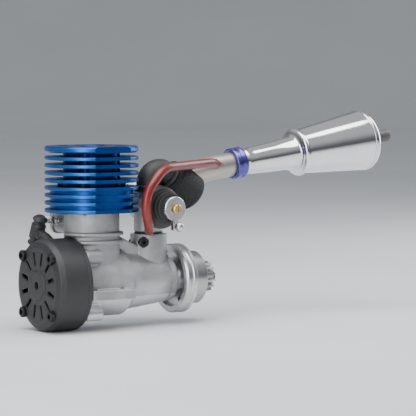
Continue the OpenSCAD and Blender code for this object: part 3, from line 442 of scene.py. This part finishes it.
# Glow plug
# Nickel-plated steel hexagon with a turned terminal on top, screwed through the button onto a
# copper washer.
plated = Finish("plug_plating")
film = plated.noise(0.5, 4)
heat = 1 - plated.part("Z").above(57.5, 62.5)
paint(plated.set(
    Base_Color=plated.blend_colour(heat * 0.6 + film * 0.3, (0.80, 0.79, 0.76), (0.55, 0.48, 0.36)),
    Metallic=1.0,
    Roughness=0.13 + film * 0.16,
    Normal=plated.bump(film, 0.008),
), "glow_plug")

# Piston, wrist pin and connecting rod
# The crowned aluminium piston is ground to the sleeve. The forged bronze rod hangs from a hollow
# pin kept in by two wire clips, and carries the hard crankpin.
piston_finish = ground_steel("piston_skin", (0.66, 0.65, 0.63), (0.42, 0.40, 0.37), "XY", (0, 0), 4, 0.30)
rod_finish = cast_metal("forged_bronze", (0.72, 0.52, 0.28), (0.45, 0.31, 0.15), 0.03)
wrist_axis = (0, 44.3)
pin_finish = ground_steel(
    "hard_pin", (0.76, 0.77, 0.78), (0.62, 0.63, 0.64), "YZ", wrist_axis, 3, 0.10, 0.003,
)
paint(piston_finish, "piston")
paint(rod_finish, "conrod")
paint(pin_finish, "wrist_pin", "wrist_pin_clips", "crankpin")

# Crankshaft, collet, nut and starter drive
# The one-piece crankshaft is ground from nickel steel, with its counterweight web behind and the
# flywheel thread in front. The split brass collet grips the flywheel when the nut is drawn up.
shaft_finish = ground_steel(
    "shaft_steel", (0.60, 0.60, 0.61), (0.36, 0.36, 0.37), "YZ", crank_axis, 6, 0.26,
)
collet_finish = ground_steel(
    "collet_brass", (0.80, 0.62, 0.30), (0.55, 0.40, 0.18), "YZ", crank_axis, 6, 0.3,
)
paint(shaft_finish, "crankshaft", "clutch_nut", "starter_shaft", "clutch_springs")
paint(collet_finish, "flywheel_collet")

# Flywheel
# Turned from aluminium bar, with a round groove for a starting belt, six lightening holes and three
# pins for the clutch shoes.
wheel_finish = ground_steel(
    "flywheel_turning", (0.70, 0.71, 0.72), (0.50, 0.51, 0.52), "YZ", crank_axis, 3.2, 0.22, 0.02,
)
paint(wheel_finish, "flywheel")

# Clutch shoes
# Three moulded shoes of black carbon-filled plastic swing out on their pins and drag the bell round.
# Their faces are glazed by the slipping.
shoe_finish = Finish("shoe_compound")
grains = shoe_finish.noise(1.4, 4)
glaze = shoe_finish.radius("YZ", crank_axis).above(11.3, 11.9)
shoe_tone = shoe_finish.blend_colour(grains.above(0.45, 0.75), (0.016, 0.016, 0.017), (0.06, 0.055, 0.05))
paint(shoe_finish.set(
    Base_Color=shoe_tone,
    Roughness=0.62 - glaze * 0.30 + grains * 0.12,
    Normal=shoe_finish.bump(grains, 0.05),
), "clutch_shoe_1", "clutch_shoe_2", "clutch_shoe_3")

# Clutch bell
# A hardened steel drum with its pinion cut on the hub. The drum is blued by heat and streaked by
# the shoes, and the tooth flanks are polished bright.
bell = Finish("bell_steel")
from_shaft = bell.radius("YZ", crank_axis)
turning = (from_shaft * 30.0).sine() * 0.5 + 0.5
drum = from_shaft.above(9.0, 13.6)
tint = bell.noise(0.12, 4)
steel_tone = bell.blend_colour(tint.above(0.35, 0.7), (0.40, 0.39, 0.38), (0.56, 0.56, 0.57))
paint(bell.set(
    Base_Color=bell.blend_colour(drum * tint.above(0.45, 0.7) * 0.45, steel_tone, (0.26, 0.24, 0.33)),
    Metallic=1.0,
    Roughness=0.24 + turning * 0.06 + tint * 0.12,
    Normal=bell.bump(turning * 0.5 + tint * 0.4, 0.015),
), "clutch_bell")

# Carburettor
# Turned from aluminium bar and tumbled to a satin skin. It plugs into the case neck over a rubber
# ring and a cotter bolt holds it. The steel slide, its brass needles and a brass fuel nipple are
# turned parts.
carb_x, slide_z = 34, 45
carb_skin = cast_metal("tumbled_aluminium", (0.66, 0.67, 0.68), (0.45, 0.46, 0.47), 0.03)
slide_axis = (carb_x, slide_z)
slide_finish = ground_steel(
    "slide_steel", (0.70, 0.70, 0.71), (0.50, 0.50, 0.51), "XZ", slide_axis, 5, 0.18,
)
turned_brass = ground_steel(
    "turned_brass", (0.84, 0.64, 0.30), (0.60, 0.43, 0.18), "XZ", slide_axis, 4, 0.22,
)
paint(carb_skin, "carburettor_body")
paint(slide_finish, "throttle_slide", "main_needle", "idle_screw")
paint(turned_brass, "low_speed_needle", "needle_housing", "fuel_inlet", "pressure_nipple")


def rubber(name, tone):
    finish = Finish(name)
    grain = finish.noise(0.9, 4)
    bloom = finish.noise(0.07, 5).above(0.50, 0.75)
    dusty = tuple(0.55 * c + 0.055 for c in tone)
    return finish.set(
        Base_Color=finish.blend_colour(bloom * 0.55 + grain * 0.15, tone, dusty),
        Roughness=0.48 + grain * 0.12 + bloom * 0.16,
        Normal=finish.bump(grain, 0.05),
    )


black_rubber = rubber("black_rubber", (0.016, 0.016, 0.017))
paint(black_rubber, "backplate_seal", "carburettor_seal")


def softly(points, size, steps=4):
    """A run of points with each inner corner rounded, to at most size."""
    points = [Vector(p) for p in points]
    out = [points[0]]
    for before, corner, after in zip(points, points[1:], points[2:]):
        a, b = before - corner, after - corner
        reach = min(size, a.length * 0.45, b.length * 0.45)
        start, end = corner + a.normalized() * reach, corner + b.normalized() * reach
        for i in range(steps + 1):
            t = i / steps
            out.append(start * (1 - t) ** 2 + corner * (2 * t * (1 - t)) + end * t * t)
    return out + [points[-1]]


def turned(name, outline, foot, axis, finish, sides=96):
    """A turned piece: its outline is [radius, distance] in millimetres, carried round an axis."""
    along = Vector(axis).normalized()
    side = along.orthogonal().normalized()
    other = along.cross(side)
    rings = []
    for radius, distance in outline:
        middle = Vector(foot) + along * distance
        rings.append([
            (middle + (side * math.cos(a) + other * math.sin(a)) * radius) / 1000
            for a in np.linspace(0, 2 * math.pi, sides, endpoint=False)
        ])
    made = grid_mesh(name, rings, closed_along=True)
    made.data.materials.append(finish)
    return made


# Throttle boot
# A moulded rubber bellows seals the slide. Its big end snaps over the body's collar and its small
# end grips the slide. On the engine it opens like an accordion with the throttle; here it is one fixed
# shape.
boot_start, boot_end = -13.5, -23.5
folds, boot_wall = 4, 0.8
fold_shape = []
for k in range(folds):
    crest = 9.9 - k * 0.75
    at = (k + 0.14) * (boot_start - boot_end) / folds
    fold_shape += [(crest, at + 0.40), (crest, at + 0.95), (crest - 2.7, at + 1.5), (crest - 2.7, at + 2.1)]
lip = [(10.02, -1.7), (10.3, -2.1), (10.85, -1.9), (10.95, -1.3), (10.95, -0.1), (10.3, 0.3)]
grip_end = [(6.1, 9.5), (6.1, 9.95), (4.05, 9.95), (4.05, 9.3)]
inner = [(radius - boot_wall, at) for radius, at in fold_shape[-2::-1]] + [(9.1, 0.15), (10.02, 0.02)]
boot_section = [(radius, at, 0) for radius, at in lip + fold_shape + grip_end + inner]
boot_profile = [(p.x, p.y) for p in softly(boot_section, 0.4, 3)]
bellows = Finish("bellows_rubber")
pore = bellows.noise(0.9, 4)
crest_height = bellows.radius("XZ", slide_axis).above(6.6, 9.8)
# The crests are paler and rougher in uneven patches.
pale_crest_patches = crest_height * (0.35 + bellows.noise(0.12, 4) * 0.9)
crest_and_pore_paling = pale_crest_patches * 0.55 + pore * 0.08
bellows_finish = bellows.set(
    Base_Color=bellows.blend_colour(crest_and_pore_paling, (0.010, 0.010, 0.011), (0.075, 0.073, 0.070)),
    Roughness=0.40 + pore * 0.12 + pale_crest_patches * 0.14,
    Normal=bellows.bump(pore, 0.04),
)
boot = turned("throttle_bellows", boot_profile, (carb_x, boot_start, slide_z), (0, -1, 0), bellows_finish)
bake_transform(boot)
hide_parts("throttle_boot")

# Backplate and recoil starter
# The backplate and the domed housing are moulded in black glass-filled plastic. Four long screws
# hold both to the case. Moulding leaves a fine spark-eroded texture, with paler, rougher patches of dust.


def moulded(name, tone, rough=0.46, grain_mm=0.04):
    finish = Finish(name)
    texture = finish.add("ShaderNodeTexVoronoi", {"feature": "SMOOTH_F1"}, out="Distance",
                         Vector=finish.place, Scale=2600.0)
    flow = finish.noise(0.05, 4)
    dust = finish.noise(0.4, 5, 0.7).above(0.55, 0.8)
    paler = tuple(c * 0.8 + 0.035 for c in tone)
    return finish.set(
        Base_Color=finish.blend_colour(dust * 0.45 + flow * 0.25, tone, paler),
        Roughness=rough + texture * 0.12 + dust * 0.10,
        Normal=finish.bump(texture + dust * 0.2, grain_mm),
    )


black_plastic = moulded("black_moulding", (0.020, 0.020, 0.022))
paint(black_plastic, "backplate")
softened("starter_cover", "starter_housing", 0.30, 3, black_plastic)

# Reel, spring and one-way bearing
# A natural nylon reel winds the cord; the spring behind it turns it back, and a one-way bearing
# in its hub grips the drive shaft only while the cord is pulled.
nylon = moulded("natural_nylon", (0.62, 0.60, 0.52), 0.40, 0.03)
spring_finish = ground_steel(
    "spring_steel", (0.52, 0.53, 0.55), (0.34, 0.35, 0.38), "YZ", crank_axis, 2, 0.28,
)
paint(nylon, "starter_reel")
paint(spring_finish, "recoil_spring")

# Starter cord and handle
# A braided nylon cord 1.8 mm thick leaves the reel at a tangent, passes the cover's eyelet and ends
# in a moulded T handle. It is 0.30 m long when drawn out.
pull_angle = math.radians(25)
pull = Vector((0, math.cos(pull_angle), math.sin(pull_angle)))
pull_up = Vector((0, -math.sin(pull_angle), math.cos(pull_angle)))
wound_radius, cord_radius = 14.5, 0.9
cover_radius = 23.5
reel_middle = Vector((-19.7, 0, 7))
cord_start = reel_middle + pull_up * wound_radius
exit_along = math.sqrt(cover_radius ** 2 - wound_radius ** 2)
cord_shown = exit_along + 5.4


def tube(name, path, radius, finish, sides=16):
    """A round bar or hose along a run of points in millimetres; radius may change from point to point."""
    path = [Vector(p) for p in path]
    radii = radius if hasattr(radius, "__len__") else [radius] * len(path)
    along = [(path[min(i + 1, len(path) - 1)] - path[max(i - 1, 0)]).normalized() for i in range(len(path))]
    side = along[0].orthogonal().normalized()
    rings = []
    for point, direction, r in zip(path, along, radii):
        side = (side - direction * side.dot(direction)).normalized()
        other = direction.cross(side)
        rings.append([
            (point + (side * math.cos(a) + other * math.sin(a)) * r) / 1000
            for a in np.linspace(0, 2 * math.pi, sides, endpoint=False)
        ])
    made = grid_mesh(name, rings)
    count = len(made.data.vertices)
    faces = [list(p.vertices) for p in made.data.polygons]
    faces += [list(range(sides))[::-1], list(range(count - sides, count))]
    points = [tuple(v.co) for v in made.data.vertices]
    made.data.clear_geometry()
    made.data.from_pydata(points, [], faces)
    made.data.update()
    for polygon in made.data.polygons:
        polygon.use_smooth = len(polygon.vertices) == 4
    made.data.materials.append(finish)
    return made


braid = Finish("braided_cord")
strands = braid.add("ShaderNodeTexWave", {"bands_direction": "DIAGONAL"}, out="Fac",
                    Vector=braid.place, Scale=420.0, Distortion=1.2, Detail=1.0)
grime = braid.noise(0.15, 4)
soiling = strands * 0.35 + grime.above(0.4, 0.8) * 0.4
braid_finish = braid.set(
    Base_Color=braid.blend_colour(soiling, (0.78, 0.76, 0.70), (0.42, 0.39, 0.34)),
    Roughness=0.72 + strands * 0.1,
    Normal=braid.bump(strands, 0.15),
)
cord_run = tube(
    "starter_cord_run",
    [cord_start + pull * s for s in np.linspace(0, cord_shown, 40)],
    cord_radius, braid_finish, 14,
)
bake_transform(cord_run)

wound_turns, wound_width = 2, 2.0
winding_path = []
for t in np.linspace(0, 1, 150):
    angle = 2 * math.pi * wound_turns * t
    step = Vector(((t - 0.5) * wound_width, 0, 0))
    round_reel = (pull_up * math.cos(angle) - pull * math.sin(angle)) * wound_radius
    winding_path.append(reel_middle + step + round_reel)
winding = tube("starter_cord_winding", winding_path, cord_radius - 0.02, braid_finish, 12)
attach(winding, "reel")
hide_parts("starter_cord")

grip = Finish("handle_moulding")
knurl = grip.add("ShaderNodeTexVoronoi", {}, out="Distance", Vector=grip.place, Scale=1500.0)
wear = grip.noise(0.3, 4)
grip_finish = grip.set(
    Base_Color=grip.blend_colour(wear.above(0.5, 0.8) * 0.5, (0.018, 0.018, 0.020), (0.075, 0.075, 0.08)),
    Roughness=0.40 + wear * 0.2,
    Normal=grip.bump(knurl, 0.06),
)
paint(grip_finish, "starter_handle")

# Exhaust header
# An aluminium casting seats on the exhaust port, runs out, and sweeps back beside the head. Its
# skin is as blasted as the case, with a heat tan near the port.
header_skin = Finish("header_skin")
grain = header_skin.noise(1.5, 4, 0.6)
patches = header_skin.noise(0.05, 4)
port = 1 - header_skin.part("Y").above(24, 40)
mottle = patches.above(0.4, 0.7) * 0.8 + grain * 0.2
cool = header_skin.blend_colour(mottle, (0.42, 0.42, 0.43), (0.66, 0.66, 0.67))
header_finish = header_skin.set(
    Base_Color=header_skin.blend_colour(port * 0.55 * patches.above(0.2, 0.7), cool, (0.36, 0.28, 0.19)),
    Metallic=0.9,
    Roughness=0.34 + grain * 0.16,
    Normal=header_skin.bump(grain + patches * 0.5, 0.07),
)
softened("header_casting", "exhaust_header", 0.34, 4, header_finish)

# Header springs
# Two close-wound tension springs hook over pins on the case and on the header and pull the joint
# shut. They are plain bright wire.
port_z, case_pin_y, header_pin_y, pin_x = 38.3, 15.0, 30.5, 11.8
wire_radius, coil_radius, coil_turns = 0.38, 1.62, 11
hook_radius, hook_sweep, coil_from_pin = 1.5, 2.4, 3.0
wire = ground_steel("spring_wire", (0.74, 0.74, 0.75), (0.52, 0.52, 0.53), "XZ", (0, port_z), 3, 0.16)
for side_name, sign in (("left", -1), ("right", 1)):
    coil_low, coil_high = case_pin_y + coil_from_pin, header_pin_y - coil_from_pin
    path = []
    for a in np.linspace(-hook_sweep, hook_sweep, 14):
        y, z = math.cos(a) * hook_radius, math.sin(a) * hook_radius
        path.append((pin_x * sign, case_pin_y - y, port_z + z))
    for t in np.linspace(0, 1, coil_turns * 18 + 1):
        a = 2 * math.pi * coil_turns * t - math.pi / 2
        grow = min(1, t * 14, (1 - t) * 14)
        path.append((
            pin_x * sign + math.cos(a) * coil_radius * grow,
            coil_low + (coil_high - coil_low) * t,
            port_z + math.sin(a) * coil_radius * grow,
        ))
    for a in np.linspace(-hook_sweep, hook_sweep, 14):
        y, z = math.cos(a) * hook_radius, math.sin(a) * hook_radius
        path.append((pin_x * sign, header_pin_y + y, port_z + z))
    spring = tube(f"header_spring_{side_name}", [Vector(p) for p in path], wire_radius, wire, 10)
    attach(spring, "engine")
    if sign > 0:
        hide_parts("header_springs")

# Pipe joint
# A turned aluminium ring, anodised violet, slides over the header and the pipe with an O-ring
# inside and lets the pipe come off for cleaning.
tilt = math.radians(7.5)
pipe_axis = Vector((math.cos(tilt), 0, math.sin(tilt)))
joint_at = Vector((94, 14, 64.8))
can_at, cap_at = 41, 86
violet = Finish("violet_anodising")
bands = (violet.part("X") * 18.0).sine() * 0.5 + 0.5
haze = violet.noise(0.08, 4)
violet_finish = violet.set(
    Base_Color=violet.blend_colour(haze.above(0.35, 0.7), (0.10, 0.09, 0.34), (0.22, 0.20, 0.52)),
    Metallic=0.92,
    Roughness=0.20 + haze * 0.14,
    Normal=violet.bump(bands * 0.5 + haze * 0.4, 0.015),
)
joint_outline = [
    (6.52, 0.0), (7.8, 0.0), (8.2, 0.25), (8.5, 0.8), (8.5, 2.2), (8.1, 2.6),
    (8.1, 4.4), (8.5, 4.8), (8.5, 6.2), (8.2, 6.75), (7.8, 7.0), (6.52, 7.0),
]
joint = turned("pipe_joint_ring", joint_outline, joint_at, pipe_axis, violet_finish)
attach(joint, "engine")
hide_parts("pipe_joint")

# Tuned pipe
# The cone and the can are spun from thin aluminium sheet, welded and polished to a mirror. A rolled
# rim and a bead of weld mark the joints, and faint spinning rings remain.
polish = Finish("mirror_polish")
spin = (polish.part("X") * 9.0).sine() * 0.5 + 0.5
smear = polish.noise(0.05, 5)
scratch = polish.noise(0.8, 6, 0.75).above(0.62, 0.72)
hot = 1 - polish.part("X").above(98, 132)
shine = polish.blend_colour(smear.above(0.4, 0.75) * 0.5, (0.86, 0.86, 0.87), (0.70, 0.70, 0.71))
polish_finish = polish.set(
    Base_Color=polish.blend_colour(hot * 0.35 * smear.above(0.3, 0.6), shine, (0.60, 0.50, 0.36)),
    Metallic=1.0,
    Roughness=0.055 + smear * 0.09 + scratch * 0.10,
    Normal=polish.bump(spin * 0.25 + smear * 0.9 + scratch * 0.1, 0.010),
)
pipe_outline = [
    (6.5, 3.5), (6.5, 8.2), (6.95, 8.6), (7.1, 9.1), (6.9, 9.6), (7.2, 13.0), (8.0, 26.0),
    (8.85, can_at - 1.2), (9.2, can_at - 0.5), (9.8, can_at), (10.8, can_at + 0.4),
    (12.3, can_at + 0.9), (12.8, can_at + 1.6), (12.95, can_at + 2.2), (12.8, can_at + 2.8),
    (12.4, can_at + 3.3), (12.0, can_at + 3.7), (12.05, can_at + 4.6), (13.2, can_at + 15),
    (14.6, can_at + 28), (15.9, can_at + 39.5), (16.45, cap_at - 0.7), (16.5, cap_at),
    (15.5, cap_at), (15.0, cap_at - 5), (11.5, can_at + 8), (11.0, can_at + 3),
    (7.8, can_at - 1), (5.5, 10.0), (5.5, 3.5),
]
pipe = turned("pipe_cone_and_can", pipe_outline, joint_at, pipe_axis, polish_finish, 160)
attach(pipe, "engine")
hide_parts("tuned_pipe")

# Tail cap
# The pressed end cap is rolled over the can, with a boss and a short dark outlet tube welded in.
soot = Finish("sooted_cap")
outlet = soot.part("X").above(186, 193)
film = soot.noise(0.09, 5)
flecks = soot.noise(0.6, 5)
soot_finish = soot.set(
    Base_Color=soot.blend_colour(outlet * (0.75 + film * 0.25), (0.80, 0.80, 0.81), (0.045, 0.040, 0.036)),
    Metallic=1.0 - outlet * 0.45,
    Roughness=0.08 + film * 0.10 + outlet * 0.38,
    Normal=soot.bump(film + flecks * outlet, 0.02),
)
cap_outline = [(radius, cap_at + along) for radius, along in (
    (16.5, 0.0), (16.72, 0.4), (16.75, 1.3), (16.5, 2.3), (15.8, 3.5), (14.6, 4.5), (13.0, 5.2),
    (9.6, 5.9), (7.0, 6.3), (6.6, 6.6), (6.5, 7.1), (6.5, 8.6), (6.3, 8.95), (5.9, 9.15),
    (4.0, 9.4), (3.6, 9.8), (3.5, 10.3), (3.5, 19.4), (3.4, 19.8), (3.1, 20.0), (2.6, 20.0),
    (2.5, 19.7), (2.5, 10.0), (5.5, 8.5), (5.5, 7.0), (12.2, 4.2), (15.2, 2.4), (15.5, 0.0),
)]
cap = turned("pipe_tail_cap", cap_outline, joint_at, pipe_axis, soot_finish, 160)
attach(cap, "engine")
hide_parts("tail_cap")

# Pressure hose
# Dark red silicone tube, 5 mm outside, pushed over the barbs of the fuel nipple and of the header
# nipple. It swells a little over each barb and takes its own easy curve between them.
inlet_way = Vector((-0.5, -0.866, 0))
inlet = Vector((carb_x, 0, 33.7)) + inlet_way * 7
nipple_way = Vector((-0.75, -0.62, 0.12)).normalized()
nipple = joint_at - pipe_axis * 5
corners = [
    inlet + inlet_way * 3.2,
    inlet + inlet_way * 17.5,
    Vector((16.8, -23.4, 51)),
    Vector((31, -19.5, 65.5)),
    nipple + nipple_way * 20,
    nipple + nipple_way * 11,
]
bends = [7.5, 15, 16, 14]
route = [corners[0]]
for before, corner, after, bend in zip(corners, corners[1:], corners[2:], bends):
    a, b = (before - corner).normalized(), (after - corner).normalized()
    half = (math.pi - a.angle(b)) / 2
    reach = bend * math.tan(half)
    middle = corner + (a + b).normalized() * (bend / math.cos(half))
    start, end = corner + a * reach, corner + b * reach
    for t in np.linspace(0, 1, 15):
        arm = ((start - middle).normalized()).slerp((end - middle).normalized(), t)
        route.append(middle + arm * bend)
route.append(corners[-1])
even = []
for p, q in zip(route, route[1:]):
    steps = max(1, int((q - p).length))
    even += [p.lerp(q, i / steps) for i in range(steps)]
even.append(route[-1])
lengths = np.cumsum([0] + [(q - p).length for p, q in zip(even, even[1:])])
hose_radius, barb_rise, barb_at, barb_length = 2.46, 0.22, 2.2, 1.6
swell = []
for s in lengths:
    from_barbs = [(end - barb_at) / barb_length for end in (s, lengths[-1] - s)]
    swell.append(hose_radius + barb_rise * sum(math.exp(-gap ** 2) for gap in from_barbs))
silicone = Finish("red_silicone")
milky = silicone.noise(0.10, 4)
pores = silicone.noise(1.2, 4)
hose_finish = silicone.set(
    Base_Color=silicone.blend_colour(milky.above(0.35, 0.75), (0.135, 0.007, 0.007), (0.215, 0.014, 0.012)),
    Roughness=0.26 + pores * 0.10 + milky * 0.10,
    Normal=silicone.bump(pores, 0.03),
    Coat_Weight=0.25,
    Coat_Roughness=0.18,
)
hose = tube("pressure_tube", even, swell, hose_finish, 32)
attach(hose, "engine")
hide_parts("pressure_hose")

# Air filter
# A moulded rubber elbow slips over the intake, and an oiled foam sleeve is stretched over its
# flange.
paint(black_rubber, "filter_boot")
foam = Finish("oiled_foam")
cells = foam.add("ShaderNodeTexVoronoi", {}, out="Distance", Vector=foam.place, Scale=1100.0)
lumps = foam.noise(0.25, 4)
foam_finish = foam.set(
    Base_Color=foam.blend_colour(cells.above(0.1, 0.6), (0.030, 0.030, 0.034), (0.007, 0.007, 0.008)),
    Roughness=0.85 - cells * 0.2,
    Normal=foam.bump(cells + lumps * 0.8, 0.35),
)
softened("foam_sleeve", "filter_foam", 0.32, 14, foam_finish)
